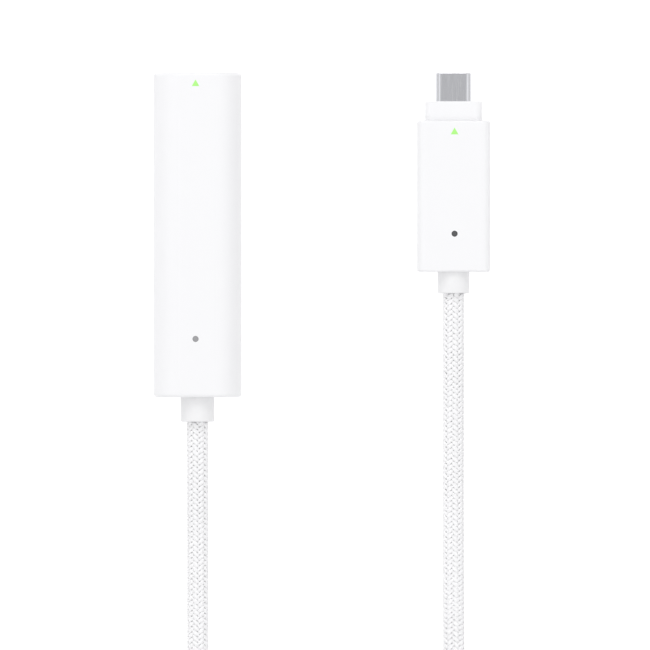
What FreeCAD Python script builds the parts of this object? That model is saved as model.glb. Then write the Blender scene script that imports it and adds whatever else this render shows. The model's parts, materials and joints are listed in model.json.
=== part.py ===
"""Bluetooth audio receiver: a pocket housing with a headphone socket, a braided lead and a USB-C power plug.

It lies on its back. +Z is up from the surface it lies on, +Y runs from the leads to the socket and the
plug, and the origin is under the middle of the receiver's housing. All lengths are in millimetres.
"""
import FreeCAD
import Part
import math
import os

from FreeCAD import Vector

# The receiver's housing: a flat-oval clamshell
BODY_WIDTH = 20.75
BODY_LENGTH = 76.4
BODY_THICKNESS = 12.0
BODY_WALL = 1.4
BODY_END_ROUNDING = 0.8
BODY_TOP = BODY_LENGTH / 2
BODY_BOTTOM = -BODY_LENGTH / 2
BODY_AXIS_Z = BODY_THICKNESS / 2

# The plug's housing: a rounded block with a nose
PLUG_X = 60.4
PLUG_WIDTH = 17.2
PLUG_LENGTH = 35.6
PLUG_THICKNESS = 9.5
PLUG_WALL = 1.3
PLUG_EDGE_ROUNDING = 1.8
PLUG_END_ROUNDING = 0.5
PLUG_AXIS_Z = PLUG_THICKNESS / 2
NOSE_WIDTH = 13.35
NOSE_LENGTH = 4.6
NOSE_THICKNESS = 6.6
NOSE_EDGE_ROUNDING = 1.5
NOSE_FRONT_ROUNDING = 0.4

# The USB-C plug's metal shell, to the connector's standard size
USB_WIDTH = 8.25
USB_HEIGHT = 2.4
USB_REACH = 6.65
USB_SHEET = 0.25
USB_TIP_ROUNDING = 0.1
USB_CONTACT_PITCH = 0.5
USB_CONTACTS_PER_SIDE = 12

USB_TIP = BODY_TOP
NOSE_FRONT = USB_TIP - USB_REACH
PLUG_TOP = NOSE_FRONT - NOSE_LENGTH
PLUG_BOTTOM = PLUG_TOP - PLUG_LENGTH

# Seams of both clamshells
LIP_HEIGHT = 1.0
LIP_GAP = 0.05
SEAM_GROOVE_WIDTH = 0.2
SEAM_GROOVE_DEPTH = 0.15

# Markers and light windows on the front faces, a little off the middle line of each housing
MARKER_DEPTH = 0.5
RECEIVER_MARKER = (1.76, 1.55)  # width, height
PLUG_MARKER = (1.82, 1.6)
MARKER_FROM_END = 1.67
RECEIVER_MARKS_X = -0.37
PLUG_MARKS_X = PLUG_X + 0.18
LIGHT_RADIUS = 0.715
LIGHT_COLLAR_RADIUS = 1.3
LIGHT_COLLAR = 0.8
RECEIVER_LIGHT_Y = BODY_BOTTOM + 13.72
PLUG_LIGHT_Y = PLUG_BOTTOM + 8.95

# The 3.5 mm headphone socket
JACK_BORE_RADIUS = 1.8
JACK_BORE_END = 23.8
JACK_WIDTH = 6.4
JACK_HEIGHT = 5.0
JACK_BACK = 22.8
JACK_ROUNDING = 0.3
BEZEL_RADIUS = 3.4
BEZEL_RECESS = 0.2
BEZEL_MOUTH_ROUNDING = 0.3
BEZEL_FLANGE_RADIUS = 4.0
BEZEL_FLANGE = 0.65

# The lead
CORD_RADIUS = 2.55
CORD_FLOOR_Z = 2.6  # centreline of the lead where it lies on the surface
RECEIVER_BOOT_RADIUS = 3.95
RECEIVER_BOOT_LENGTH = 5.8
PLUG_BOOT_RADIUS = 3.725
PLUG_BOOT_LENGTH = 5.1
BOOT_ROUNDING = 0.3
BOOT_NECK_RADIUS = 3.0
BOOT_FLANGE = 1.3
RECEIVER_BOOT_FLANGE_RADIUS = 4.2
PLUG_BOOT_FLANGE_RADIUS = 3.4

# The put-away part of the lead: a round coil two turns wide
COIL_OUTER_TURN = 31.475
COIL_INNER_TURN = 26.375
COIL_TOP_TURN = 28.925
COIL_LEAD_Z = 12.8  # centreline of the lead where it leaves over the coil's top
COIL_X = COIL_OUTER_TURN
COIL_Y = -138.0
COIL_SIDE_MARGIN = 2.9  # from the outermost and innermost centrelines to the solid's sides
COIL_SHOULDER_Z = 9.2
COIL_CROWN_Z = 15.4
COIL_CROWN_HALF_WIDTH = 1.6
COIL_ROUNDING = 1.2
COIL_STUB = 21.0

# Circuit boards
BOARD_THICKNESS = 1.0
RECEIVER_BOARD_Z = 2.5
RECEIVER_BOARD_WIDTH = 14.0
RECEIVER_BOARD_Y = (-29.0, 35.8)
RECEIVER_BOARD_CORNER = 1.0
PLUG_BOARD_THICKNESS = 0.8
PLUG_BOARD_WIDTH = 12.4
PLUG_BOARD_Y = (-1.4, 23.2)

TINY = 1e-6
DRAWN = 1e-3  # how near an edge must lie to a plane to count as on it


def save(name, *solids):
    """Writes one node, as one solid or as a group of separate solids."""
    shape = solids[0] if len(solids) == 1 else Part.makeCompound(list(solids))
    if not shape.isValid():
        raise ValueError(name + " isn't a valid shape")
    shape.exportStep("parts/" + name + ".step")
    print(f"{name:32s} {len(shape.Solids):3d} solids {shape.Volume:10.2f} mm3")


def box(x, y, z):
    """A block from three (low, high) pairs."""
    return Part.makeBox(x[1] - x[0], y[1] - y[0], z[1] - z[0], Vector(x[0], y[0], z[0]))


def centred_box(centre_x, centre_y, width, length, z):
    """A block on a board: centred in plan, between two heights."""
    x = (centre_x - width / 2, centre_x + width / 2)
    y = (centre_y - length / 2, centre_y + length / 2)
    return box(x, y, z)


def cylinder_y(radius, y, x, z):
    """A round bar along Y between two places."""
    return Part.makeCylinder(radius, y[1] - y[0], Vector(x, y[0], z), Vector(0, 1, 0))


def cylinder_z(radius, z, x, y):
    """A round bar along Z between two heights."""
    return Part.makeCylinder(radius, z[1] - z[0], Vector(x, y, z[0]), Vector(0, 0, 1))


def slab(z):
    """Everything between two heights."""
    reach = 200.0
    return box((-reach, reach), (-reach, reach), z)


def edges_at(shape, axis, place):
    """The edges that lie in the plane where that coordinate has that value."""
    found = []
    for edge in shape.Edges:
        low = getattr(edge.BoundBox, axis + "Min")
        high = getattr(edge.BoundBox, axis + "Max")
        if abs(low - place) < DRAWN and abs(high - place) < DRAWN:
            found.append(edge)
    return found


def rounded_outline(width, height, radius):
    """A closed outline of straight sides and quarter-circle corners, as (u, v) edges about its middle.

    Sides of no length are left out, so a radius of half the height gives a flat oval.
    """
    half_u = width / 2 - radius
    half_v = height / 2 - radius
    diagonal = radius * math.sqrt(0.5)
    corners = [(1, 1), (-1, 1), (-1, -1), (1, -1)]
    pieces = []
    for number, (side_u, side_v) in enumerate(corners):
        u = side_u * half_u
        v = side_v * half_v
        beside = (u + side_u * radius, v)
        above = (u, v + side_v * radius)
        middle = (u + side_u * diagonal, v + side_v * diagonal)
        arc = (beside, middle, above) if number % 2 == 0 else (above, middle, beside)
        pieces.append(arc)
        next_u, next_v = corners[(number + 1) % 4]
        if number % 2 == 0:
            end = (next_u * half_u, v + side_v * radius)
        else:
            end = (u + side_u * radius, next_v * half_v)
        if math.dist(arc[2], end) > TINY:
            pieces.append((arc[2], end))
    return pieces


def outline_face(pieces, place):
    """A flat face from (u, v) edges, where place turns a (u, v) pair into a point."""
    edges = []
    for piece in pieces:
        points = [place(u, v) for u, v in piece]
        curve = Part.Arc(*points) if len(points) == 3 else Part.LineSegment(*points)
        edges.append(curve.toShape())
    return Part.Face(Part.Wire(edges))


def bar_y(width, height, radius, y, x, z):
    """A bar along Y whose section is a rounded rectangle centred on (x, z)."""
    section = outline_face(rounded_outline(width, height, radius), lambda u, v: Vector(x + u, y[0], z + v))
    return section.extrude(Vector(0, y[1] - y[0], 0))


def round_ends(bar, y, radius):
    """Rounds the rims of a bar along Y at both its ends."""
    return bar.makeFillet(radius, edges_at(bar, "Y", y[0]) + edges_at(bar, "Y", y[1]))


def receiver_oval(inset):
    """The receiver's outer form, moved in by the same distance all round."""
    width = BODY_WIDTH - 2 * inset
    height = BODY_THICKNESS - 2 * inset
    return bar_y(width, height, height / 2, (BODY_BOTTOM + inset, BODY_TOP - inset), 0, BODY_AXIS_Z)


def receiver_outside():
    return round_ends(receiver_oval(0), (BODY_BOTTOM, BODY_TOP), BODY_END_ROUNDING)


def plug_block(inset):
    """The plug's outer form with square ends, moved in by the same distance all round."""
    return bar_y(
        PLUG_WIDTH - 2 * inset,
        PLUG_THICKNESS - 2 * inset,
        PLUG_EDGE_ROUNDING - inset,
        (PLUG_BOTTOM + inset, PLUG_TOP - inset),
        PLUG_X,
        PLUG_AXIS_Z,
    )


def plug_outside():
    return round_ends(plug_block(0), (PLUG_BOTTOM, PLUG_TOP), PLUG_END_ROUNDING)


def clamshell(outside, groove_form, lip_form, loose_lip_form, inside, seam_z):
    """Splits a hollow form at a seam into (upper, lower) halves.

    A lip on the upper half drops into a rebate in the lower, and a fine groove runs round the seam outside.
    """
    walls = outside.cut(inside)
    upper = walls.common(slab((seam_z, 2 * seam_z + 1)))
    lower = walls.common(slab((-1, seam_z)))
    lip = loose_lip_form.cut(inside).common(slab((seam_z - LIP_HEIGHT, seam_z)))
    rebate = lip_form.common(slab((seam_z - LIP_HEIGHT - LIP_GAP, seam_z)))
    rim = outside.cut(groove_form)
    half_groove = SEAM_GROOVE_WIDTH / 2
    upper = upper.fuse(lip).cut(rim.common(slab((seam_z, seam_z + half_groove))))
    lower = lower.cut(rebate).cut(rim.common(slab((seam_z - half_groove, seam_z))))
    return upper.removeSplitter(), lower.removeSplitter()


def triangle_prism(size, x, tip_y, z):
    """An upright prism on a triangle that points along +Y."""
    width, height = size
    corners = [
        Vector(x - width / 2, tip_y - height, z[0]),
        Vector(x + width / 2, tip_y - height, z[0]),
        Vector(x, tip_y, z[0]),
    ]
    return Part.Face(Part.makePolygon(corners + corners[:1])).extrude(Vector(0, 0, z[1] - z[0]))


def smooth_path(points):
    """Straight runs joined by tangent arcs as large as the runs allow, and their total length."""
    vectors = [Vector(*point) for point in points]
    edges = []
    start = vectors[0]
    for before, corner, after in zip(vectors, vectors[1:], vectors[2:]):
        run_in = (corner - before).normalize()
        run_out = (after - corner).normalize()
        half_turn = run_in.getAngle(run_out) / 2
        shorter = min(before.distanceToPoint(corner), corner.distanceToPoint(after))
        reach = 0.45 * shorter
        radius = reach / math.tan(half_turn)
        print(f"  turn of {math.degrees(2 * half_turn):5.1f} degrees, radius {radius:6.1f}")
        inward = (run_out - run_in).normalize()
        middle = corner + inward * (radius / math.cos(half_turn) - radius)
        arc_start = corner - run_in * reach
        arc_end = corner + run_out * reach
        edges.append(Part.LineSegment(start, arc_start).toShape())
        edges.append(Part.Arc(arc_start, middle, arc_end).toShape())
        start = arc_end
    edges.append(Part.LineSegment(start, vectors[-1]).toShape())
    return Part.Wire(edges)


def tube(points, radius):
    """A round tube along a smooth path. Its volume is compared with its section times its length."""
    path = smooth_path(points)
    first = Vector(*points[0])
    along = Vector(*points[1]) - first
    ring = Part.Wire(Part.makeCircle(radius, first, along))
    swept = path.makePipeShell([ring], True, False)
    expected = math.pi * radius**2 * path.Length
    print(f"  tube {path.Length:.1f} long, volume {swept.Volume / expected:.4f} of section times length")
    return swept


# ---------------------------------------------------------------- receiver


RECEIVER_CEILING = BODY_THICKNESS - BODY_WALL
CRIMP_OUTER_RADIUS = 3.05
RECEIVER_CRIMP_LENGTH = 3.6
RECEIVER_CRIMP_START = BODY_BOTTOM + BODY_WALL + BOOT_FLANGE + 0.2
RECEIVER_CLAMP = (RECEIVER_CRIMP_START + 1.2, RECEIVER_CRIMP_START + 2.4)
POST_PLACES = [(-5.4, -25.0), (5.4, -25.0), (-5.4, 19.0), (5.4, 19.0)]
CLAMP_HALF_WIDTH = 6.0
POST_RADIUS = 1.0
POST_ROOT = 0.4  # how deep a post is rooted in the wall
PEG_RADIUS = 0.55
PEG_HOLE_RADIUS = 0.65
PEG_TOP = RECEIVER_BOARD_Z + BOARD_THICKNESS + 0.4


def receiver_shells(marker):
    """The two halves of the receiver's housing."""
    outside = receiver_outside()
    inside = receiver_oval(BODY_WALL)
    upper, lower = clamshell(
        outside,
        receiver_oval(SEAM_GROOVE_DEPTH),
        receiver_oval(BODY_WALL / 2),
        receiver_oval(BODY_WALL / 2 + LIP_GAP),
        inside,
        BODY_AXIS_Z,
    )
    rib = box((-CLAMP_HALF_WIDTH, CLAMP_HALF_WIDTH), RECEIVER_CLAMP, (0, BODY_THICKNESS))
    clamp = inside.common(rib)
    upper = upper.fuse(clamp.common(slab((BODY_AXIS_Z, BODY_THICKNESS))))
    lower = lower.fuse(clamp.common(slab((0, BODY_AXIS_Z))))
    for x, y in POST_PLACES:
        post = cylinder_z(POST_RADIUS, (BODY_WALL - POST_ROOT, RECEIVER_BOARD_Z), x, y)
        peg = cylinder_z(PEG_RADIUS, (BODY_WALL - POST_ROOT, PEG_TOP), x, y)
        lower = lower.fuse(post).fuse(peg)
    openings = [
        cylinder_y(BEZEL_RADIUS, (BODY_TOP - 3, BODY_TOP + 1), 0, BODY_AXIS_Z),
        cylinder_y(BOOT_NECK_RADIUS, (BODY_BOTTOM - 1, BODY_BOTTOM + BODY_WALL), 0, BODY_AXIS_Z),
        cylinder_y(CRIMP_OUTER_RADIUS, RECEIVER_CLAMP, 0, BODY_AXIS_Z),
    ]
    for opening in openings:
        upper = upper.cut(opening)
        lower = lower.cut(opening)
    light_hole = cylinder_z(
        LIGHT_RADIUS, (RECEIVER_CEILING - 1, BODY_THICKNESS + 1), RECEIVER_MARKS_X, RECEIVER_LIGHT_Y
    )
    return upper.cut(light_hole).cut(marker).removeSplitter(), lower.removeSplitter()


def light_pipe(x, y, top, ceiling, bottom):
    """A round window flush with the front face, with a collar under the wall and a stem down to the lamp."""
    stem = cylinder_z(LIGHT_RADIUS, (bottom, top), x, y)
    collar = cylinder_z(LIGHT_COLLAR_RADIUS, (ceiling - LIGHT_COLLAR, ceiling), x, y)
    return stem.fuse(collar).removeSplitter()


def boot(x, z, wall_outside, wall, outer_radius, length, flange_radius):
    """A short sleeve on the lead: its neck fills the hole in the wall, and its flange sits behind it."""
    outer_end = wall_outside - length
    sleeve = cylinder_y(outer_radius, (outer_end, wall_outside), x, z)
    sleeve = sleeve.makeFillet(BOOT_ROUNDING, edges_at(sleeve, "Y", outer_end))
    neck = cylinder_y(BOOT_NECK_RADIUS, (wall_outside, wall_outside + wall), x, z)
    flange = cylinder_y(flange_radius, (wall_outside + wall, wall_outside + wall + BOOT_FLANGE), x, z)
    passage = cylinder_y(CORD_RADIUS, (outer_end - 1, wall_outside + wall + BOOT_FLANGE + 1), x, z)
    return sleeve.fuse(neck).fuse(flange).removeSplitter().cut(passage)


def crimp_ring(x, z, start, length):
    """A metal band squeezed on to the end of the lead's cover."""
    ring = cylinder_y(CRIMP_OUTER_RADIUS, (start, start + length), x, z)
    return ring.cut(cylinder_y(CORD_RADIUS, (start - 1, start + length + 1), x, z))


def jack_bezel():
    """The ring round the socket's mouth, held behind the end wall by its flange."""
    front = BODY_TOP - BEZEL_RECESS
    back = BODY_TOP - BODY_WALL
    ring = cylinder_y(BEZEL_RADIUS, (back, front), 0, BODY_AXIS_Z)
    flange = cylinder_y(BEZEL_FLANGE_RADIUS, (back - BEZEL_FLANGE, back), 0, BODY_AXIS_Z)
    bezel = ring.fuse(flange).removeSplitter()
    bezel = bezel.cut(cylinder_y(JACK_BORE_RADIUS, (back - 2, front + 1), 0, BODY_AXIS_Z))
    rims = edges_at(bezel, "Y", front)
    mouth = [rim for rim in rims if abs(rim.Curve.Radius - JACK_BORE_RADIUS) < DRAWN]
    return bezel.makeFillet(BEZEL_MOUTH_ROUNDING, mouth)


JACK_FRONT = BODY_TOP - BODY_WALL - BEZEL_FLANGE - 0.05
BOARD_TOP = RECEIVER_BOARD_Z + BOARD_THICKNESS
CONTACT_PLACES = [(-1, 26.4), (1, 29.2), (-1, 31.6), (1, 33.8)]  # side, y
CONTACT_SLOT = 1.5
CONTACT_SLOT_DEPTH = 1.2  # from the bore's axis
CONTACT_PAD_HALF_HEIGHT = 0.6
CONTACT_WIDTH = 1.2
CONTACT_SHEET = 0.3
CONTACT_GAP = 0.05
CONTACT_FACE = JACK_BORE_RADIUS + 0.06


def jack_housing():
    """The moulded body of the headphone socket, with a slot through its side for each contact."""
    side_x = JACK_WIDTH / 2
    top = BOARD_TOP + JACK_HEIGHT
    block = box((-side_x, side_x), (JACK_BACK, JACK_FRONT), (BOARD_TOP, top))
    block = block.makeFillet(JACK_ROUNDING, edges_at(block, "Z", top))
    block = block.cut(cylinder_y(JACK_BORE_RADIUS, (JACK_BORE_END, JACK_FRONT + 1), 0, BODY_AXIS_Z))
    for side, y in CONTACT_PLACES:
        x = sorted((side * CONTACT_SLOT_DEPTH, side * (side_x + 1)))
        half = CONTACT_SLOT / 2
        block = block.cut(box(x, (y - half, y + half), (BODY_AXIS_Z - half, BODY_AXIS_Z + half)))
    return block


def jack_contacts():
    """Four sprung contacts, each with a pad beside the bore and a leg down to the board."""
    contacts = []
    leg_outside = JACK_WIDTH / 2 + CONTACT_GAP + CONTACT_SHEET
    for side, y in CONTACT_PLACES:
        along = (y - CONTACT_WIDTH / 2, y + CONTACT_WIDTH / 2)
        pad_z = (BODY_AXIS_Z - CONTACT_PAD_HALF_HEIGHT, BODY_AXIS_Z + CONTACT_PAD_HALF_HEIGHT)
        pad_x = sorted((side * CONTACT_FACE, side * (CONTACT_FACE + CONTACT_SHEET)))
        arm_x = sorted((side * CONTACT_FACE, side * leg_outside))
        leg_x = sorted((side * (leg_outside - CONTACT_SHEET), side * leg_outside))
        pad = box(pad_x, along, pad_z)
        arm = box(arm_x, along, (pad_z[0], pad_z[0] + CONTACT_SHEET))
        leg = box(leg_x, along, (BOARD_TOP, pad_z[0] + CONTACT_SHEET))
        contacts.append(pad.fuse(arm).fuse(leg).removeSplitter())
    return contacts


def receiver_board():
    half = RECEIVER_BOARD_WIDTH / 2
    board = box((-half, half), RECEIVER_BOARD_Y, (RECEIVER_BOARD_Z, BOARD_TOP))
    corners = [edge for edge in board.Edges if edge.BoundBox.ZLength > BOARD_THICKNESS - DRAWN]
    board = board.makeFillet(RECEIVER_BOARD_CORNER, corners)
    for x, y in POST_PLACES:
        board = board.cut(cylinder_z(PEG_HOLE_RADIUS, (RECEIVER_BOARD_Z - 1, BOARD_TOP + 1), x, y))
    return board


DIMPLE_RADIUS = 0.3
DIMPLE_DEPTH = 0.1
DIMPLE_INSET = 0.8
SHIELD_SHEET = 0.2


def chip(centre_x, centre_y, side, height, board_top):
    """A square moulded chip with a pin-one dimple."""
    top = board_top + height
    body = centred_box(centre_x, centre_y, side, side, (board_top, top))
    offset = side / 2 - DIMPLE_INSET
    dimple = cylinder_z(DIMPLE_RADIUS, (top - DIMPLE_DEPTH, top + 1), centre_x - offset, centre_y + offset)
    return body.cut(dimple)


def shield_can(centre_x, centre_y, width, length, height):
    """A thin metal lid over the radio, open below."""
    top = BOARD_TOP + height
    walls = 2 * SHIELD_SHEET
    outer = centred_box(centre_x, centre_y, width, length, (BOARD_TOP, top))
    inside_z = (BOARD_TOP - 1, top - SHIELD_SHEET)
    inner = centred_box(centre_x, centre_y, width - walls, length - walls, inside_z)
    return outer.cut(inner)


def small_parts(places, size, board_top):
    """Equal little blocks on a board: capacitors or resistors."""
    width, length, height = size
    return [centred_box(x, y, width, length, (board_top, board_top + height)) for x, y in places]


def lead_wire(lead_axis, core, start_y, straight, pad):
    """One insulated wire, from its place in the end of the lead to its pad on a board.

    pad is (x, the y where the wire reaches the board, the y where it ends, z of its centreline).
    """
    x = lead_axis[0] + core[0]
    z = lead_axis[1] + core[1]
    pad_x, landing_y, end_y, pad_z = pad
    route = [(x, start_y, z), (x, start_y + straight, z), (pad_x, landing_y, pad_z), (pad_x, end_y, pad_z)]
    return tube(route, WIRE_RADIUS)


def save_wires(prefix, lead_axis, start_y, straight, landing_y, end_y, pads):
    """The wires of one end of the lead: power, ground and the two data wires."""
    pad_list = [(lead_axis[0] + x, landing_y, end_y, z) for x, z in pads]
    wires = [lead_wire(lead_axis, core, start_y, straight, pad) for core, pad in zip(WIRE_CORES, pad_list)]
    save(prefix + "_power_wire", wires[0])
    save(prefix + "_ground_wire", wires[1])
    save(prefix + "_data_wires", *wires[2:])


WIRE_RADIUS = 0.4
WIRE_CLEARANCE = 0.05
WIRE_SPREAD = 0.85
WIRE_CORES = [  # places in the lead of the power, ground and two data wires
    (-WIRE_SPREAD, WIRE_SPREAD),
    (WIRE_SPREAD, WIRE_SPREAD),
    (-WIRE_SPREAD, -WIRE_SPREAD),
    (WIRE_SPREAD, -WIRE_SPREAD),
]


# Parts on both boards
LAMP_SIZE = (1.6, 0.8, 0.6)
LAMP_GAP = 0.2  # from a lamp to its light pipe
CAPACITOR_SIZE = (1.6, 0.8, 0.8)
RESISTOR_SIZE = (1.0, 0.5, 0.35)
CHIP_HEIGHT = 0.85

RADIO_SHIELD = (0, 10.5, 12.0, 11.5, 2.2)  # x, y, width, length, height
RECEIVER_CHIPS = [  # name, x, y, side
    ("bluetooth_chip", -1.2, 11.5, 6.0),
    ("audio_converter_chip", -2.6, -1.0, 5.0),
]
RECEIVER_BLOCKS = [  # name, x, y, width, length, height
    ("crystal", 4.0, 8.0, 2.0, 2.5, 0.7),
    ("flash_memory_chip", 3.6, -1.0, 4.0, 5.0, 0.9),
    ("power_inductor", -3.8, -11.0, 4.0, 4.0, 2.0),
    ("ceramic_antenna", 5.6, -17.0, 2.0, 5.2, 1.1),
]
RECEIVER_CAPACITORS = [(x, y) for y in (-6.5, 20.8) for x in (-3.0, 0.0, 3.0)]
RECEIVER_CAPACITORS += [(x, -15.5) for x in (-5.0, -2.5)]
RECEIVER_RESISTORS = [(x, y) for y in (-9.5, -12.5) for x in (0.6, 2.6)]
RECEIVER_RESISTORS += [(x, 3.2) for x in (-4.5, -1.5, 1.5, 4.5)]
CABLE_END_BEYOND_CRIMP = 0.4


def make_face_parts(prefix, outside, marker_size, x, housing_end, light_y, top, ceiling, board_top):
    """Saves the marker, light pipe and lamp of one housing. Returns the marker, to cut the shell by."""
    prism = triangle_prism(marker_size, x, housing_end - MARKER_FROM_END, (top - MARKER_DEPTH, top + 1))
    marker = outside.common(prism)
    save(prefix + "_marker", marker)
    width, length, height = LAMP_SIZE
    save(prefix + "_light_pipe", light_pipe(x, light_y, top, ceiling, board_top + height + LAMP_GAP))
    save(prefix + "_status_lamp", centred_box(x, light_y, width, length, (board_top, board_top + height)))
    return marker


def make_receiver():
    marker = make_face_parts(
        "receiver",
        receiver_outside(),
        RECEIVER_MARKER,
        RECEIVER_MARKS_X,
        BODY_TOP,
        RECEIVER_LIGHT_Y,
        BODY_THICKNESS,
        RECEIVER_CEILING,
        BOARD_TOP,
    )
    upper, lower = receiver_shells(marker)
    save("receiver_upper_shell", upper)
    save("receiver_lower_shell", lower)

    save("audio_jack_bezel", jack_bezel())
    save("audio_jack_housing", jack_housing())
    save("audio_jack_contacts", *jack_contacts())

    save("receiver_circuit_board", receiver_board())
    save("radio_shield_can", shield_can(*RADIO_SHIELD))
    for name, x, y, side in RECEIVER_CHIPS:
        save(name, chip(x, y, side, CHIP_HEIGHT, BOARD_TOP))
    for name, x, y, width, length, height in RECEIVER_BLOCKS:
        save(name, centred_box(x, y, width, length, (BOARD_TOP, BOARD_TOP + height)))
    save("receiver_capacitors", *small_parts(RECEIVER_CAPACITORS, CAPACITOR_SIZE, BOARD_TOP))
    save("receiver_resistors", *small_parts(RECEIVER_RESISTORS, RESISTOR_SIZE, BOARD_TOP))

    cable_end = RECEIVER_CRIMP_START + RECEIVER_CRIMP_LENGTH + CABLE_END_BEYOND_CRIMP
    outer_end = BODY_BOTTOM - RECEIVER_BOOT_LENGTH
    sleeve = (RECEIVER_BOOT_RADIUS, RECEIVER_BOOT_LENGTH, RECEIVER_BOOT_FLANGE_RADIUS)
    save("receiver_boot", boot(0, BODY_AXIS_Z, BODY_BOTTOM, BODY_WALL, *sleeve))
    save("receiver_crimp_ring", crimp_ring(0, BODY_AXIS_Z, RECEIVER_CRIMP_START, RECEIVER_CRIMP_LENGTH))
    save("receiver_cable_end", cylinder_y(CORD_RADIUS, (outer_end, cable_end), 0, BODY_AXIS_Z))
    board_end = RECEIVER_BOARD_Y[0]
    wire_z = BOARD_TOP + WIRE_RADIUS + WIRE_CLEARANCE
    pads = [(-3.2, wire_z), (3.2, wire_z), (-1.7, wire_z), (1.7, wire_z)]
    save_wires("receiver", (0, BODY_AXIS_Z), cable_end, 1.4, board_end + 1.6, board_end + 8.0, pads)


# ---------------------------------------------------------------- plug

PLUG_CEILING = PLUG_THICKNESS - PLUG_WALL
PLUG_CRIMP_START = PLUG_BOTTOM + PLUG_WALL + BOOT_FLANGE + 0.1
PLUG_CRIMP_LENGTH = 2.6
PLUG_BOARD_BOTTOM = PLUG_AXIS_Z - PLUG_BOARD_THICKNESS / 2
PLUG_BOARD_TOP = PLUG_AXIS_Z + PLUG_BOARD_THICKNESS / 2
PLUG_POST_X = 5.2
PLUG_POST_INSET = 2.5
NOSE_NECK_INSET = 0.8
NOSE_FLANGE_INSET = 0.4
NOSE_FLANGE = 1.0
USB_BACK = PLUG_TOP - 3.4
USB_BLOCK_RECESS = 0.2


def nose_bar(inset, y):
    """The nose's outer form with square ends, moved in by the same distance all round."""
    width = NOSE_WIDTH - 2 * inset
    height = NOSE_THICKNESS - 2 * inset
    return bar_y(width, height, NOSE_EDGE_ROUNDING - inset, y, PLUG_X, PLUG_AXIS_Z)


def plug_shells(marker):
    """The two halves of the plug's housing."""
    outside = plug_outside()
    inside = plug_block(PLUG_WALL)
    upper, lower = clamshell(
        outside,
        plug_block(SEAM_GROOVE_DEPTH),
        plug_block(PLUG_WALL / 2),
        plug_block(PLUG_WALL / 2 + LIP_GAP),
        inside,
        PLUG_AXIS_Z,
    )
    for x in (PLUG_X - PLUG_POST_X, PLUG_X + PLUG_POST_X):
        for y in (PLUG_BOARD_Y[0] + PLUG_POST_INSET, PLUG_BOARD_Y[1] - PLUG_POST_INSET):
            lower = lower.fuse(cylinder_z(POST_RADIUS, (PLUG_WALL - POST_ROOT, PLUG_BOARD_BOTTOM), x, y))
    openings = [
        nose_bar(NOSE_NECK_INSET, (PLUG_TOP - PLUG_WALL, PLUG_TOP + 1)),
        cylinder_y(BOOT_NECK_RADIUS, (PLUG_BOTTOM - 1, PLUG_BOTTOM + PLUG_WALL), PLUG_X, PLUG_AXIS_Z),
    ]
    for opening in openings:
        upper = upper.cut(opening)
        lower = lower.cut(opening)
    light_hole = cylinder_z(LIGHT_RADIUS, (PLUG_CEILING - 1, PLUG_THICKNESS + 1), PLUG_MARKS_X, PLUG_LIGHT_Y)
    return upper.cut(light_hole).cut(marker).removeSplitter(), lower.removeSplitter()


def usb_bar(inset, y):
    """The flat-oval form of the USB-C plug, moved in from the shell's outside."""
    height = USB_HEIGHT - 2 * inset
    return bar_y(USB_WIDTH - 2 * inset, height, height / 2, y, PLUG_X, PLUG_AXIS_Z)


def nose():
    """The collar round the metal plug: a visible block, a neck in the wall and a flange behind it."""
    block = nose_bar(0, (PLUG_TOP, NOSE_FRONT))
    block = block.makeFillet(NOSE_FRONT_ROUNDING, edges_at(block, "Y", NOSE_FRONT))
    behind_wall = PLUG_TOP - PLUG_WALL
    neck = nose_bar(NOSE_NECK_INSET, (behind_wall, PLUG_TOP))
    flange = nose_bar(NOSE_FLANGE_INSET, (behind_wall - NOSE_FLANGE, behind_wall))
    return block.fuse(neck).fuse(flange).removeSplitter().cut(usb_bar(0, (USB_BACK, USB_TIP)))


def usb_shell():
    """The drawn metal sleeve of the plug, with a softened tip."""
    sleeve = usb_bar(0, (USB_BACK, USB_TIP)).cut(usb_bar(USB_SHEET, (USB_BACK - 1, USB_TIP + 1)))
    return sleeve.makeFillet(USB_TIP_ROUNDING, edges_at(sleeve, "Y", USB_TIP))


CONTACT_THICKNESS = 0.1
USB_CONTACT_WIDTH = 0.25
USB_CONTACT_LANDING = 1.6  # how far the strips reach over the board
USB_CONTACT_RECESS = 1.2  # behind the mouth
BLOCK_THICKNESS = 0.45
BLOCK_RECESS = 0.8
BLOCK_BACK = NOSE_FRONT - 1.0
LATCH_RECESS = 1.6
LATCH_SHEET = 0.25
LATCH_GAP = 0.2  # from the sleeve's side wall
LATCH_HALF_HEIGHT = 0.35
USB_INSIDE_HALF = USB_HEIGHT / 2 - USB_SHEET
USB_FLAT_WIDTH = USB_WIDTH - USB_HEIGHT
CONTACT_ROWS = [
    (PLUG_BOARD_TOP, PLUG_BOARD_TOP + CONTACT_THICKNESS),
    (PLUG_BOARD_BOTTOM - CONTACT_THICKNESS, PLUG_BOARD_BOTTOM),
]


def usb_contacts():
    """Both rows of contact strips. Each runs from the plug's mouth back on to the board."""
    half = USB_CONTACT_WIDTH / 2
    y = (PLUG_BOARD_Y[1] - USB_CONTACT_LANDING, USB_TIP - USB_CONTACT_RECESS)
    strips = []
    for row in CONTACT_ROWS:
        for number in range(USB_CONTACTS_PER_SIDE):
            x = PLUG_X + (number - (USB_CONTACTS_PER_SIDE - 1) / 2) * USB_CONTACT_PITCH
            strips.append(box((x - half, x + half), y, row))
    return strips


def usb_rear_block(contacts):
    """The moulded block at the back of the metal sleeve, which holds every contact strip."""
    block = usb_bar(USB_SHEET, (USB_BACK + USB_BLOCK_RECESS, BLOCK_BACK))
    for strip in contacts:
        block = block.cut(strip)
    return block


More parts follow.
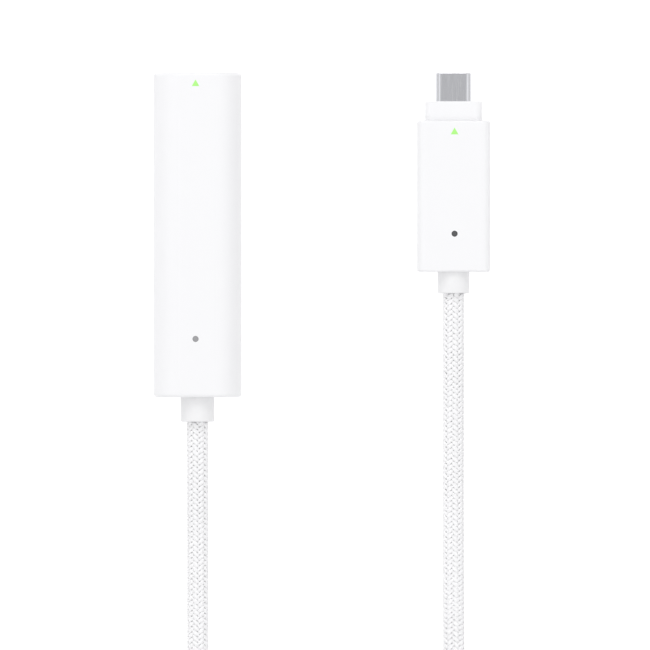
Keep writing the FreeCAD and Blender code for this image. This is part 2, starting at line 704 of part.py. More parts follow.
def usb_contact_block(side):
    """The thin moulding under one row of contacts, on the sleeve's wall."""
    wall_z = PLUG_AXIS_Z + side * USB_INSIDE_HALF
    inner_z = PLUG_AXIS_Z + side * (USB_INSIDE_HALF - BLOCK_THICKNESS)
    half = USB_FLAT_WIDTH / 2
    y = (BLOCK_BACK, USB_TIP - BLOCK_RECESS)
    return box((PLUG_X - half, PLUG_X + half), y, sorted((wall_z, inner_z)))


def usb_latches():
    """The two side springs that hold the plug in its socket."""
    outer = USB_WIDTH / 2 - USB_SHEET - LATCH_GAP
    z = (PLUG_AXIS_Z - LATCH_HALF_HEIGHT, PLUG_AXIS_Z + LATCH_HALF_HEIGHT)
    latches = []
    for side in (-1, 1):
        x = sorted((PLUG_X + side * (outer - LATCH_SHEET), PLUG_X + side * outer))
        latches.append(box(x, (BLOCK_BACK, USB_TIP - LATCH_RECESS), z))
    return latches


CONTROLLER_CHIP = (PLUG_X, 13.0, 5.0)  # x, y, side
PLUG_CAPACITORS = [(PLUG_X + x, 8.0) for x in (-4.0, -1.4, 1.4, 4.0)]
PLUG_RESISTORS = [(PLUG_X + x, 18.2) for x in (-4.0, -1.4, 1.4, 4.0)]


def make_plug():
    marker = make_face_parts(
        "plug",
        plug_outside(),
        PLUG_MARKER,
        PLUG_MARKS_X,
        PLUG_TOP,
        PLUG_LIGHT_Y,
        PLUG_THICKNESS,
        PLUG_CEILING,
        PLUG_BOARD_TOP,
    )
    upper, lower = plug_shells(marker)
    save("plug_upper_shell", upper)
    save("plug_lower_shell", lower)
    save("plug_nose", nose())

    contacts = usb_contacts()
    save("usb_shell", usb_shell())
    save("usb_contacts", *contacts)
    save("usb_rear_block", usb_rear_block(contacts))
    save("usb_upper_contact_block", usb_contact_block(1))
    save("usb_lower_contact_block", usb_contact_block(-1))
    save("usb_latch_springs", *usb_latches())

    board_x = (PLUG_X - PLUG_BOARD_WIDTH / 2, PLUG_X + PLUG_BOARD_WIDTH / 2)
    save("plug_circuit_board", box(board_x, PLUG_BOARD_Y, (PLUG_BOARD_BOTTOM, PLUG_BOARD_TOP)))
    save("usb_controller_chip", chip(*CONTROLLER_CHIP, CHIP_HEIGHT, PLUG_BOARD_TOP))
    save("plug_capacitors", *small_parts(PLUG_CAPACITORS, CAPACITOR_SIZE, PLUG_BOARD_TOP))
    save("plug_resistors", *small_parts(PLUG_RESISTORS, RESISTOR_SIZE, PLUG_BOARD_TOP))

    cable_end = PLUG_CRIMP_START + PLUG_CRIMP_LENGTH + CABLE_END_BEYOND_CRIMP
    outer_end = PLUG_BOTTOM - PLUG_BOOT_LENGTH
    sleeve = (PLUG_BOOT_RADIUS, PLUG_BOOT_LENGTH, PLUG_BOOT_FLANGE_RADIUS)
    save("plug_boot", boot(PLUG_X, PLUG_AXIS_Z, PLUG_BOTTOM, PLUG_WALL, *sleeve))
    save("plug_crimp_ring", crimp_ring(PLUG_X, PLUG_AXIS_Z, PLUG_CRIMP_START, PLUG_CRIMP_LENGTH))
    save("plug_cable_end", cylinder_y(CORD_RADIUS, (outer_end, cable_end), PLUG_X, PLUG_AXIS_Z))
    above = PLUG_BOARD_TOP + WIRE_RADIUS + WIRE_CLEARANCE
    below = PLUG_BOARD_BOTTOM - WIRE_RADIUS - WIRE_CLEARANCE
    pads = [(-2.8, above), (2.8, above), (-2.8, below), (2.8, below)]
    save_wires("plug", (PLUG_X, PLUG_AXIS_Z), cable_end, 0.8, 0.6, 4.5, pads)


# ---------------------------------------------------------------- lead

RECEIVER_LEAD_ROUTE = [
    (0, BODY_BOTTOM - RECEIVER_BOOT_LENGTH, BODY_AXIS_Z),
    (0, -56.0, BODY_AXIS_Z),
    (0, -76.0, CORD_FLOOR_Z),
    (0, COIL_Y + COIL_STUB, CORD_FLOOR_Z),
]
PLUG_LEAD_ROUTE = [
    (PLUG_X, PLUG_BOTTOM - PLUG_BOOT_LENGTH, PLUG_AXIS_Z),
    (PLUG_X, -27.0, PLUG_AXIS_Z),
    (PLUG_X, -44.0, CORD_FLOOR_Z),
    (PLUG_X, -80.0, CORD_FLOOR_Z),
    (PLUG_X, -101.0, COIL_LEAD_Z),
    (PLUG_X, COIL_Y + COIL_STUB, COIL_LEAD_Z),
]


def coil():
    """The outer form of the coiled lead: a ring, with a stub where each end of the lead joins it."""
    inner = COIL_INNER_TURN - COIL_SIDE_MARGIN
    outer = COIL_OUTER_TURN + COIL_SIDE_MARGIN
    section = [
        (inner, 0),
        (outer, 0),
        (outer, COIL_SHOULDER_Z),
        (COIL_TOP_TURN + COIL_CROWN_HALF_WIDTH, COIL_CROWN_Z),
        (COIL_TOP_TURN - COIL_CROWN_HALF_WIDTH, COIL_CROWN_Z),
        (inner, COIL_SHOULDER_Z),
    ]
    corners = [Vector(COIL_X + radius, COIL_Y, z) for radius, z in section]
    face = Part.Face(Part.makePolygon(corners + corners[:1]))
    ring = face.revolve(Vector(COIL_X, COIL_Y, 0), Vector(0, 0, 1), 360)
    rims = [edge for edge in ring.Edges if isinstance(edge.Curve, Part.Circle)]
    ring = ring.makeFillet(COIL_ROUNDING, rims)
    stub_y = (COIL_Y, COIL_Y + COIL_STUB)
    ring = ring.fuse(cylinder_y(CORD_RADIUS, stub_y, COIL_X - COIL_OUTER_TURN, CORD_FLOOR_Z))
    return ring.fuse(cylinder_y(CORD_RADIUS, stub_y, COIL_X + COIL_TOP_TURN, COIL_LEAD_Z))


def make_lead():
    save("cord_lead_receiver", tube(RECEIVER_LEAD_ROUTE, CORD_RADIUS))
    save("cord_lead_plug", tube(PLUG_LEAD_ROUTE, CORD_RADIUS))
    save("cord_coil", coil())


os.makedirs("parts", exist_ok=True)
make_receiver()
make_plug()
make_lead()
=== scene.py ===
"""The bluetooth audio receiver's looks: its woven lead, its materials, the studio and the camera.

Everything is in metres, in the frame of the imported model: +Z is up from the floor that the object lies on,
and +Y runs from the leads to the headphone socket and the plug.
"""
import bpy
import json
import math
import numpy as np

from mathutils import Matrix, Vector


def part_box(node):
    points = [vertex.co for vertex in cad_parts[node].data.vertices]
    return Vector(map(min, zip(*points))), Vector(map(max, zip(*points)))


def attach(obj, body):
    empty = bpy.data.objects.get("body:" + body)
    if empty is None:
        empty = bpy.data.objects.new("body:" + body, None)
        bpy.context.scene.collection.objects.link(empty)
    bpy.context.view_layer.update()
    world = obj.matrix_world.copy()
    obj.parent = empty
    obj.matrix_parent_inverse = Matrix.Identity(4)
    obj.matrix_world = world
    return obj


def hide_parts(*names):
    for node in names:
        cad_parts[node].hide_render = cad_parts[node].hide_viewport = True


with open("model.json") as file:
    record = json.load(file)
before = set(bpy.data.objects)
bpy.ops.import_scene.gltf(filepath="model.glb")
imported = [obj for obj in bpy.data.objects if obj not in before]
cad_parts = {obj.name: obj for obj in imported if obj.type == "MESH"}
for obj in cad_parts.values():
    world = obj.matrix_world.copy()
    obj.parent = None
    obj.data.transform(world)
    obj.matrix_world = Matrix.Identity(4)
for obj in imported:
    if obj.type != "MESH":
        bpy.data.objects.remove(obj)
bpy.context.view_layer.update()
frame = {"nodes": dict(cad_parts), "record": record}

# ---------------------------------------------------------------- camera

CAMERA_DISTANCE = 2.0  # above the upper edge of the receiver's lower shell
CAMERA_REACH = 4.0  # well past the floor
PICTURE_WIDTH = 0.1533  # how much the picture shows across, at the height of that edge
CAMERA_BELOW_TOP = 0.0594  # from the receiver's socket end to the middle of the picture
CAMERA_LEFT = 0.00013  # from midway between the two housings to the middle of the picture
SENSOR = 36.0


def make_camera():
    """Looks straight down, with the socket and the plug towards the top of the picture."""
    receiver_low, receiver_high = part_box("receiver_lower_shell")
    plug_low, plug_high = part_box("plug_lower_shell")
    receiver_middle = (receiver_low.x + receiver_high.x) / 2
    plug_middle = (plug_low.x + plug_high.x) / 2
    data = bpy.data.cameras.new("camera")
    data.sensor_width = SENSOR
    data.lens = SENSOR * CAMERA_DISTANCE / PICTURE_WIDTH
    data.clip_end = CAMERA_REACH
    camera = bpy.data.objects.new("camera", data)
    camera.location = (
        (receiver_middle + plug_middle) / 2 - CAMERA_LEFT,
        receiver_high.y - CAMERA_BELOW_TOP,
        receiver_high.z + CAMERA_DISTANCE,
    )
    bpy.context.scene.collection.objects.link(camera)
    bpy.context.scene.camera = camera


make_camera()

# ---------------------------------------------------------------- the lead's route

CORD_DIAMETER = 0.0051
# Control points from each boot to the coil. The plug's lead rises over the coil before it joins it
RECEIVER_LEAD = [(0, -0.044, 0.006), (0, -0.056, 0.006), (0, -0.076, 0.0026), (0, -0.117, 0.0026)]
PLUG_LEAD = [
    (0.0604, -0.01375, 0.00475),
    (0.0604, -0.027, 0.00475),
    (0.0604, -0.044, 0.0026),
    (0.0604, -0.080, 0.0026),
    (0.0604, -0.101, 0.0128),
    (0.0604, -0.117, 0.0128),
]

# The coil: two turns on the floor, two on top of them, and the last half turn in the groove between those
COIL_CENTRE = (0.031475, -0.138)
OUTER_TURN = 0.031475
INNER_TURN = 0.026375
GROOVE_TURN = 0.028925
FLOOR_LAYER = 0.0026
SECOND_LAYER = 0.0077
GROOVE_LAYER = 0.01212
CROSSING_LAYER = 0.0128
COIL_START = 191.25  # degrees
COIL_STEP = 22.5  # degrees
COIL_POINTS = 72
# Each change is (from angle, to angle, new value), counted on round the turns in degrees
RADIUS_CHANGES = [(474, 530, INNER_TURN), (1146, 1204, OUTER_TURN), (1492, 1540, GROOVE_TURN)]
HEIGHT_CHANGES = [
    (820, 865, SECOND_LAYER),
    (1470, 1516, CROSSING_LAYER),
    (1565, 1610, GROOVE_LAYER),
    (1765, 1800, CROSSING_LAYER),
]


def smooth_step(share):
    share = min(max(share, 0.0), 1.0)
    return share * share * (3 - 2 * share)


def after_changes(angle, value, changes):
    """A value that eases to a new one over each range of angles."""
    for start, end, new_value in changes:
        value += (new_value - value) * smooth_step((angle - start) / (end - start))
    return value


def coil_point(angle):
    """A control point of the coil, outside the turn, which touches the lines between such points."""
    radius = after_changes(angle, OUTER_TURN, RADIUS_CHANGES) / math.cos(math.radians(COIL_STEP / 2))
    height = after_changes(angle, FLOOR_LAYER, HEIGHT_CHANGES)
    turned = math.radians(angle)
    return (COIL_CENTRE[0] + radius * math.cos(turned), COIL_CENTRE[1] + radius * math.sin(turned), height)


def cord_route():
    """Control points of the whole lead, from the receiver through the coil to the plug."""
    coil = [coil_point(COIL_START + COIL_STEP * number) for number in range(COIL_POINTS)]
    first, last = coil[0], coil[-1]
    entry = (first[0], 2 * COIL_CENTRE[1] - first[1], first[2])
    leaving = (last[0], 2 * COIL_CENTRE[1] - last[1], CROSSING_LAYER)
    return RECEIVER_LEAD + [entry] + coil + [leaving] + PLUG_LEAD[::-1]


CORE_RADIUS = 0.00195  # the jacket under the woven cover
CORE_ROUNDNESS = 6
LINE_RESOLUTION = 24


def make_cord_core():
    """The cord's smooth line as a NURBS curve as thick as the jacket, and the points along that line."""
    points = cord_route()
    curve = bpy.data.curves.new("cord_core", "CURVE")
    curve.dimensions = "3D"
    spline = curve.splines.new("NURBS")
    spline.points.add(len(points) - 1)
    for control, point in zip(spline.points, points):
        control.co = (*point, 1)
        control.radius = CORE_RADIUS
    spline.order_u = 3
    spline.use_endpoint_u = True
    spline.resolution_u = LINE_RESOLUTION
    core = bpy.data.objects.new("cord_core", curve)
    bpy.context.scene.collection.objects.link(core)
    bare = bpy.data.meshes.new_from_object(core)
    line = np.array([vertex.co for vertex in bare.vertices])
    bpy.data.meshes.remove(bare)
    curve.bevel_depth = 1.0  # times each point's radius
    curve.bevel_resolution = CORE_ROUNDNESS
    curve.use_fill_caps = True
    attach(core, "root")
    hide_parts("cord_lead_receiver", "cord_lead_plug", "cord_coil")
    return core, line


cord_core, cord_line = make_cord_core()

# ---------------------------------------------------------------- the woven cover

STRANDS = 10  # winding each way
BRAID_PITCH = 0.0126  # along the cord, for one turn of a strand
STRAND_WIDTH = 0.00102
STRAND_THICKNESS = 0.00042
WEAVE_DEPTH = 0.00023  # how far a strand rises over the others and dips under them
WEAVE_SHARPNESS = 1.5  # higher values keep a strand level for longer before it dives
PINCH = 0.4  # the share of its width that a strand loses where it dives
BRAID_RADIUS = CORD_DIAMETER / 2 - STRAND_THICKNESS / 2 - WEAVE_DEPTH
BRAID_PHASE = math.radians(-33.3)  # turns the whole weave about the cord
TANGENT_REACH = 0.0005  # how far each way along the line its direction is taken


def unit(vectors):
    return vectors / np.linalg.norm(vectors, axis=1)[:, None]


class Line:
    """The cord's line by length along it, with its upward and sideways directions."""

    def __init__(self, points):
        steps = np.linalg.norm(np.diff(points, axis=0), axis=1)
        self.points = points
        self.lengths = np.concatenate([[0], np.cumsum(steps)])
        self.total = self.lengths[-1]

    def at(self, lengths):
        """Places at those lengths along the line."""
        return np.stack([np.interp(lengths, self.lengths, self.points[:, axis]) for axis in range(3)], axis=1)

    def frames(self, lengths):
        """Places on the line, and the unit vectors up from it and to its side there."""
        before = self.at(np.clip(lengths - TANGENT_REACH, 0, self.total))
        after = self.at(np.clip(lengths + TANGENT_REACH, 0, self.total))
        along = unit(after - before)
        rise = np.array([0.0, 0.0, 1.0])
        up = unit(rise - along * (along @ rise)[:, None])
        return self.at(lengths), up, np.cross(along, up)


def strand_section(corners):
    """A lens shape: how far across and how far outward each of its corners lies, within -1 and 1."""
    turns = (np.arange(corners) + 0.5) * 2 * math.pi / corners
    across = np.cos(turns)
    return across / across.max(), np.sin(turns) * np.abs(np.sin(turns))


def strand_points(line, lengths, way, number, section):
    """Rings of points round one strand, which winds one way round the cord.

    It crosses a strand of the other way at each whole column, over two of them and then under two.
    """
    column = 2 * number + way * 2 * STRANDS * lengths / BRAID_PITCH
    wave = np.tanh(WEAVE_SHARPNESS * np.cos((column - 0.5) * math.pi / 2)) / math.tanh(WEAVE_SHARPNESS)
    angle = column * math.pi / STRANDS + BRAID_PHASE
    place, up, side = line.frames(lengths)
    outward = up * np.cos(angle)[:, None] + side * np.sin(angle)[:, None]
    middle = place + outward * (BRAID_RADIUS + way * WEAVE_DEPTH * wave)[:, None]
    along = unit(np.gradient(middle, axis=0))
    across = unit(np.cross(along, outward))
    outward = np.cross(across, along)
    half_width = STRAND_WIDTH / 2 * (1 - PINCH * (1 - np.abs(wave)))
    section_across, section_out = section
    return (
        middle[:, None]
        + across[:, None] * (half_width[:, None] * section_across)[:, :, None]
        + outward[:, None] * (STRAND_THICKNESS / 2 * section_out)[None, :, None]
    )


def strand_faces(rings, corners):
    """Four-cornered faces that wrap a strand's rings and close both its ends."""
    ring = np.arange(rings - 1)[:, None] * corners
    corner = np.arange(corners)
    following = (corner + 1) % corners
    next_ring = ring + corners
    sides = np.stack([ring + corner, ring + following, next_ring + following, next_ring + corner], axis=2)
    fan = np.array([(0, step, step + 1, step + 2) for step in range(1, corners - 1, 2)])
    first = fan[:, ::-1]
    last = fan + (rings - 1) * corners
    return np.concatenate([sides.reshape(-1, 4), first, last])


def mesh_from_quads(name, points, quads):
    mesh = bpy.data.meshes.new(name)
    mesh.vertices.add(len(points))
    mesh.vertices.foreach_set("co", points.ravel())
    mesh.loops.add(quads.size)
    mesh.loops.foreach_set("vertex_index", quads.ravel())
    mesh.polygons.add(len(quads))
    mesh.polygons.foreach_set("loop_start", np.arange(0, quads.size, 4))
    mesh.update(calc_edges=True)
    mesh.shade_smooth()
    return mesh


def make_braid(name, line, start, end, samples, corners):
    """One stretch of the woven cover, with that many rings of points between two crossings of strands.

    Each point carries its place across the strand and along the cord, which the yarn's ridges follow.
    """
    crossing = BRAID_PITCH / (2 * STRANDS)
    rings = round((end - start) / crossing * samples) + 1
    lengths = np.linspace(start, end, rings)
    section = strand_section(corners)
    points = []
    faces = []
    across = []
    along = []
    for way in (1, -1):
        for number in range(STRANDS):
            faces.append(strand_faces(rings, corners) + len(points) * rings * corners)
            points.append(strand_points(line, lengths, way, number, section).reshape(-1, 3))
            across.append(np.tile(section[0], rings))
            along.append(np.repeat(lengths, corners))
    mesh = mesh_from_quads(name, np.concatenate(points), np.concatenate(faces))
    for attribute, values in (("across", across), ("along", along)):
        mesh.attributes.new(attribute, "FLOAT", "POINT").data.foreach_set("value", np.concatenate(values))
    braid = bpy.data.objects.new(name, mesh)
    bpy.context.scene.collection.objects.link(braid)
    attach(braid, "root")
    return braid


# Rings of points between two crossings, and corners of a strand's section
LEAD_SAMPLES = 4
LEAD_CORNERS = 8
COIL_SAMPLES = 2
COIL_CORNERS = 6
COIL_PIECES = 4
FINE_BRAID_END = -0.107  # the place along Y, past the picture's edge, where both leads turn plainer


def make_braids(line):
    """The cover in stretches: fine ones on both leads, and plainer ones round the coil."""
    plainer = np.flatnonzero(line.points[:, 1] < FINE_BRAID_END)
    coil_start = line.lengths[plainer[0]]
    coil_end = line.lengths[plainer[-1]]
    joins = np.linspace(coil_start, coil_end, COIL_PIECES + 1)
    stretches = [
        make_braid("braid_receiver_lead", line, 0, coil_start, LEAD_SAMPLES, LEAD_CORNERS),
        make_braid("braid_plug_lead", line, coil_end, line.total, LEAD_SAMPLES, LEAD_CORNERS),
    ]
    for number, (start, end) in enumerate(zip(joins, joins[1:]), 1):
        stretches.append(make_braid(f"braid_coil_{number}", line, start, end, COIL_SAMPLES, COIL_CORNERS))
    return stretches


braids = make_braids(Line(cord_line))

# ---------------------------------------------------------------- materials


class Finish:
    """A Principled material, and the patterns that vary it. All patterns lie in the frame's own space.

    Sockets are given as keywords, with an underscore for each space in their names.
    """

    def __init__(self, name, colour, roughness, metallic=0.0):
        self.material = bpy.data.materials.new(name)
        self.material.use_nodes = True
        self.tree = self.material.node_tree
        self.shader = self.tree.nodes["Principled BSDF"]
        self.colour = colour
        self.roughness = roughness
        self.normal = None
        self.shader.inputs["Base Color"].default_value = (*colour, 1)
        self.shader.inputs["Roughness"].default_value = roughness
        self.shader.inputs["Metallic"].default_value = metallic

    def set(self, **sockets):
        for socket, value in sockets.items():
            self.shader.inputs[socket.replace("_", " ")].default_value = value

    def node(self, kind, **inputs):
        made = self.tree.nodes.new(kind)
        for socket, value in inputs.items():
            made.inputs[socket.replace("_", " ")].default_value = value
        return made

    def place(self):
        """The point of the frame that is being shaded."""
        return self.node("ShaderNodeTexCoord").outputs["Object"]

    def noise(self, size, squeeze=(1, 1, 1), detail=3.0):
        """A cloudy pattern with features of that size in metres, longer along an axis squeezed below 1."""
        mapping = self.node("ShaderNodeMapping", Scale=squeeze)
        noise = self.node("ShaderNodeTexNoise", Scale=1 / size, Detail=detail)
        self.tree.links.new(self.place(), mapping.inputs["Vector"])
        self.tree.links.new(mapping.outputs["Vector"], noise.inputs["Vector"])
        return noise.outputs["Fac"]

    def attribute(self, name):
        """A value that the mesh carries at each of its points."""
        attribute = self.node("ShaderNodeAttribute")
        attribute.attribute_name = name
        return attribute.outputs["Fac"]

    def calculate(self, operation, *values):
        """Arithmetic on other nodes' outputs and plain numbers."""
        arithmetic = self.node("ShaderNodeMath")
        arithmetic.operation = operation
        for socket, value in zip(arithmetic.inputs, values):
            if isinstance(value, bpy.types.NodeSocket):
                self.tree.links.new(value, socket)
            else:
                socket.default_value = value
        return arithmetic.outputs["Value"]

    def spread(self, pattern, low, high, cut=(0.3, 0.7)):
        """A pattern's middle part, drawn out to run between two values."""
        spread = self.node("ShaderNodeMapRange", From_Min=cut[0], From_Max=cut[1], To_Min=low, To_Max=high)
        self.tree.links.new(pattern, spread.inputs["Value"])
        return spread.outputs["Result"]

    def tint(self, pattern, other_colour):
        """Blends the colour with another one by a pattern."""
        mix = self.node("ShaderNodeMix")
        mix.data_type = "RGBA"
        mix.inputs["A"].default_value = (*self.colour, 1)
        mix.inputs["B"].default_value = (*other_colour, 1)
        self.tree.links.new(self.spread(pattern, 0, 1), mix.inputs["Factor"])
        self.tree.links.new(mix.outputs["Result"], self.shader.inputs["Base Color"])

    def roughen(self, pattern, less, more):
        """Varies the roughness by a pattern, from that much less to that much more."""
        varied = self.spread(pattern, self.roughness - less, self.roughness + more)
        self.tree.links.new(varied, self.shader.inputs["Roughness"])

    def bump(self, pattern, depth):
        """Raises the surface by a pattern, up to that depth in metres."""
        bump = self.node("ShaderNodeBump", Distance=depth, Strength=1.0)
        self.tree.links.new(pattern, bump.inputs["Height"])
        if self.normal:
            self.tree.links.new(self.normal, bump.inputs["Normal"])
        self.normal = bump.outputs["Normal"]
        self.tree.links.new(self.normal, self.shader.inputs["Normal"])


def moulded_plastic(name, colour, shade, roughness=0.46):
    """Fine spark-eroded plastic: even, with a faint cloudiness and a grain of a tenth of a millimetre."""
    finish = Finish(name, colour, roughness)
    finish.tint(finish.noise(size=0.006), shade)
    finish.roughen(finish.noise(size=0.0009), less=0.04, more=0.05)
    finish.bump(finish.noise(size=0.00012, detail=1.0), depth=0.000004)
    return finish.material


def rubbery_plastic(name, colour, shade):
    """The boots: softer and duller than the housings, with a slightly coarser grain."""
    finish = Finish(name, colour, roughness=0.6)
    finish.set(Sheen_Weight=0.15, Sheen_Roughness=0.5)
    finish.tint(finish.noise(size=0.002), shade)
    finish.roughen(finish.noise(size=0.0006), less=0.04, more=0.06)
    finish.bump(finish.noise(size=0.00016, detail=2.0), depth=0.000006)
    return finish.material


WINDOW_RADIUS = 0.000715
WINDOW_CLEAR = 0.45  # the share of the radius where the painted shade towards the rim begins


def light_window(name, colour, rim_shade_colour, node):
    """A frosted light pipe over a dark cavity, with painted shade that darkens it a little towards its rim.
    """
    low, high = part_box(node)
    finish = Finish(name, colour, roughness=0.3)
    finish.set(Coat_Weight=0.4, Coat_Roughness=0.15)
    centre = finish.node("ShaderNodeCombineXYZ", X=(low.x + high.x) / 2, Y=(low.y + high.y) / 2, Z=high.z)
    distance = finish.node("ShaderNodeVectorMath")
    distance.operation = "DISTANCE"
    finish.tree.links.new(finish.place(), distance.inputs[0])
    finish.tree.links.new(centre.outputs["Vector"], distance.inputs[1])
    # Painted shade: the colour darkens from part way out to the pipe's rim
    rim = finish.spread(distance.outputs["Value"], 0, 1, cut=(WINDOW_RADIUS * WINDOW_CLEAR, WINDOW_RADIUS))
    finish.tint(rim, rim_shade_colour)
    finish.roughen(finish.noise(size=0.0002), less=0.05, more=0.06)
    finish.bump(finish.noise(size=0.00015), depth=0.000003)
    return finish.material


def inlay(name, colour, shade):
    """The green markers: a matt inlay, level with the housing."""
    finish = Finish(name, colour, roughness=0.5)
    finish.tint(finish.noise(size=0.0006), shade)
    finish.roughen(finish.noise(size=0.0003), less=0.05, more=0.05)
    finish.bump(finish.noise(size=0.00012), depth=0.000004)
    return finish.material


LINES_ALONG_Y = (1, 0.04, 1)  # squeezes that draw a pattern out into fine lines


def brushed_metal(name, colour, shade, roughness):
    """Drawn or stamped metal, with fine lines along Y."""
    finish = Finish(name, colour, roughness, metallic=1.0)
    finish.tint(finish.noise(size=0.00035, squeeze=LINES_ALONG_Y), shade)
    finish.roughen(finish.noise(size=0.0002, squeeze=LINES_ALONG_Y), less=0.06, more=0.08)
    finish.bump(finish.noise(size=0.00012, squeeze=LINES_ALONG_Y), depth=0.000002)
    return finish.material


def dull_part(name, colour, shade, roughness):
    """Small moulded, fired or printed parts: mottled, and rough to the touch."""
    finish = Finish(name, colour, roughness)
    finish.tint(finish.noise(size=0.0008), shade)
    finish.roughen(finish.noise(size=0.0004), less=0.07, more=0.07)
    finish.bump(finish.noise(size=0.0002), depth=0.000005)
    return finish.material


GLASS_YARN = 0.0004
WARP = (1, 0.2, 1)  # squeezes that draw its pattern out along Y, and along X
WEFT = (0.2, 1, 1)


def circuit_board(name, colour, shade):
    """Glass weave under a green lacquer."""
    finish = Finish(name, colour, roughness=0.35)
    finish.set(Coat_Weight=0.5, Coat_Roughness=0.2)
    finish.tint(finish.noise(size=0.0012), shade)
    finish.roughen(finish.noise(size=0.0005), less=0.05, more=0.07)
    for yarns in (WARP, WEFT):
        finish.bump(finish.noise(size=GLASS_YARN, squeeze=yarns), depth=0.000008)
    return finish.material


YARNS = 3  # side by side in a strand
TWIST_LENGTH = 0.0009  # along the cord, from one ridge of the yarns to the next


def woven_yarn(name, colour, shade):
    """White polyester yarn: each strand is a few twisted yarns side by side, with a soft sheen."""
    finish = Finish(name, colour, roughness=0.75)
    finish.set(Sheen_Weight=0.25, Sheen_Roughness=0.4)
    side = finish.calculate("MULTIPLY", finish.attribute("across"), math.pi * YARNS)
    twist = finish.calculate("MULTIPLY_ADD", finish.attribute("along"), 2 * math.pi / TWIST_LENGTH, side)
    ridges = finish.spread(finish.calculate("SINE", twist), 0, 1, cut=(-1, 1))
    finish.tint(finish.noise(size=0.0008), shade)
    finish.roughen(finish.noise(size=0.0004), less=0.07, more=0.07)
    finish.bump(ridges, depth=0.00002)
    finish.bump(finish.noise(size=0.00008), depth=0.00001)
    return finish.material


def make_finishes():
    """One material for each slot of the record."""
    return {
        "housing_white": moulded_plastic("moulded_white", (0.86, 0.86, 0.875), (0.855, 0.855, 0.87)),
        "marker_green": inlay("inlaid_green", (0.42, 0.9, 0.23), (0.4, 0.87, 0.22)),
        "light_window": light_window(
            "receiver_window", (0.315, 0.315, 0.325), (0.27, 0.27, 0.28), "receiver_light_pipe"
        ),
        "boot_white": rubbery_plastic("boot_rubber", (0.82, 0.82, 0.83), (0.81, 0.81, 0.82)),
        "cord_braid": woven_yarn("woven_white", (0.905, 0.902, 0.913), (0.88, 0.877, 0.888)),
        "plug_steel": brushed_metal("plug_steel", (0.65, 0.655, 0.685), (0.64, 0.645, 0.675), 0.2),
        "socket_trim": moulded_plastic("socket_ring", (0.72, 0.72, 0.73), (0.68, 0.68, 0.69), 0.35),
        "connector_plastic": dull_part("connector_black", (0.018, 0.018, 0.02), (0.026, 0.026, 0.028), 0.45),
        "contact_gold": brushed_metal("contact_gold", (0.95, 0.68, 0.28), (0.85, 0.58, 0.22), 0.22),
        "spring_steel": brushed_metal("spring_steel", (0.6, 0.6, 0.6), (0.5, 0.5, 0.5), 0.3),
        "board_green": circuit_board("board_green", (0.02, 0.16, 0.06), (0.015, 0.12, 0.045)),
        "chip_black": dull_part("chip_black", (0.02, 0.02, 0.022), (0.035, 0.035, 0.036), 0.55),
        "shield_tin": brushed_metal("shield_tin", (0.75, 0.74, 0.7), (0.65, 0.64, 0.6), 0.35),
        "ceramic_part": dull_part("fired_ceramic", (0.52, 0.44, 0.33), (0.45, 0.37, 0.27), 0.5),
        "resistor_black": dull_part("ferrite_black", (0.04, 0.04, 0.045), (0.06, 0.06, 0.065), 0.5),
        "lamp_white": dull_part("lamp_resin", (0.85, 0.83, 0.7), (0.8, 0.77, 0.6), 0.3),
        "wire_red": dull_part("wire_red", (0.55, 0.02, 0.015), (0.48, 0.015, 0.01), 0.4),
        "wire_black": dull_part("wire_black", (0.02, 0.02, 0.02), (0.03, 0.03, 0.03), 0.4),
        "wire_white": dull_part("wire_white", (0.8, 0.8, 0.78), (0.75, 0.75, 0.73), 0.4),
        "cable_cover": dull_part("cable_jacket", (0.74, 0.74, 0.75), (0.69, 0.69, 0.7), 0.6),
        "crimp_metal": brushed_metal("crimp_metal", (0.7, 0.69, 0.67), (0.6, 0.59, 0.57), 0.35),
    }


def paint(obj, material):
    """Gives a piece that material in every slot of its own."""
    if not obj.material_slots:
        obj.data.materials.append(material)
    for material_slot in obj.material_slots:
        material_slot.material = material


def paint_everything():
    finishes = make_finishes()
    for subpart in frame["record"]["subparts"]:
        paint(frame["nodes"][subpart["node"]], finishes[subpart["material_slot"]])
    plug_window = light_window("plug_window", (0.075, 0.075, 0.08), (0.045, 0.045, 0.05), "plug_light_pipe")
    paint(frame["nodes"]["plug_light_pipe"], plug_window)
    paint(cord_core, finishes["cable_cover"])
    for braid in braids:
        paint(braid, finishes["cord_braid"])


paint_everything()

# ---------------------------------------------------------------- studio

FLOOR_SIZE = 16.0
RIM_HEIGHT = 0.1
FLOOR_GREY = (0.35, 0.35, 0.35)
FLOOR_SHADE = (0.345, 0.345, 0.345)
FLOOR_CLOUDS = 0.05  # how large the floor's cloudy patches are
FLOOR_GLOW = 0.77
KEY_DISTANCE = 3.0
KEY_SIZE = 1.5
KEY_POWER = 35.5
KEY_DIRECTION = (-0.1, 0.8, 0.56)  # from the object to the light
# The dome's brightness by the Z part of the direction: bright at middle heights, dimmer overhead
DOME = [(0.0, 0.3), (0.35, 0.85), (0.7, 1.25), (0.9, 1.145), (1.0, 0.66)]
# A dark screen on the dome's +Y side, by the Y part of the direction, so that the ends facing it don't
# melt into the bright ground
SCREEN_BEGINS = 0.45
SCREEN_FULL = 0.8
SCREEN_BRIGHTNESS = 0.05  # the share of the dome's light that it leaves


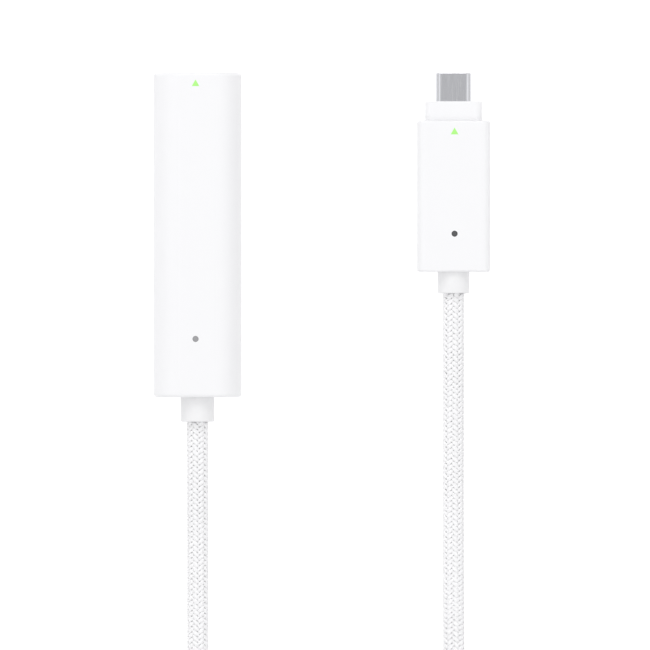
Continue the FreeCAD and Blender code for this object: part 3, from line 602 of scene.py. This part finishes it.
def make_floor():
    """A pale table that glows a little, as a light table does, so that shadows on it stay faint.

    A low rim stands far round it, so that level views end in the same pale tone.
    """
    bpy.ops.mesh.primitive_plane_add(size=FLOOR_SIZE)
    floor = bpy.context.object
    floor.name = "floor"
    bpy.ops.mesh.primitive_cylinder_add(
        radius=FLOOR_SIZE / 2, depth=RIM_HEIGHT, location=(0, 0, RIM_HEIGHT / 2), end_fill_type="NOTHING"
    )
    rim = bpy.context.object
    rim.name = "floor_rim"
    finish = Finish("pale_floor", FLOOR_GREY, roughness=0.9)
    finish.tint(finish.noise(size=FLOOR_CLOUDS), FLOOR_SHADE)
    finish.set(Emission_Color=(1, 1, 1, 1), Emission_Strength=FLOOR_GLOW)
    for piece in (floor, rim):
        paint(piece, finish.material)


def make_dome():
    """The light from all round, with the dark screen in it."""
    world = bpy.data.worlds.new("studio_dome")
    world.use_nodes = True
    tree = world.node_tree
    background = tree.nodes["Background"]
    coordinates = tree.nodes.new("ShaderNodeTexCoord")
    parts = tree.nodes.new("ShaderNodeSeparateXYZ")
    tree.links.new(coordinates.outputs["Generated"], parts.inputs["Vector"])
    ramp = tree.nodes.new("ShaderNodeValToRGB")
    ramp.color_ramp.interpolation = "EASE"
    stops = ramp.color_ramp.elements
    for number, (height, brightness) in enumerate(DOME):
        stop = stops[number] if number < 2 else stops.new(height)  # a new ramp comes with two
        stop.position = height
        stop.color = (brightness, brightness, brightness, 1)
    tree.links.new(parts.outputs["Z"], ramp.inputs["Fac"])
    tree.links.new(ramp.outputs["Color"], background.inputs["Color"])
    screen = tree.nodes.new("ShaderNodeMapRange")
    screen.inputs["From Min"].default_value = SCREEN_BEGINS
    screen.inputs["From Max"].default_value = SCREEN_FULL
    screen.inputs["To Min"].default_value = 1.0
    screen.inputs["To Max"].default_value = SCREEN_BRIGHTNESS
    tree.links.new(parts.outputs["Y"], screen.inputs["Value"])
    tree.links.new(screen.outputs["Result"], background.inputs["Strength"])
    bpy.context.scene.world = world


def make_key_light():
    """A large soft light beyond the top of the picture."""
    data = bpy.data.lights.new("key_light", "AREA")
    data.size = KEY_SIZE
    data.energy = KEY_POWER
    light = bpy.data.objects.new("key_light", data)
    direction = Vector(KEY_DIRECTION).normalized()
    light.location = direction * KEY_DISTANCE
    light.rotation_euler = direction.to_track_quat("Z", "Y").to_euler()
    light.visible_camera = False
    bpy.context.scene.collection.objects.link(light)


make_floor()
make_dome()
make_key_light()
bpy.context.scene.view_settings.view_transform = "Standard"
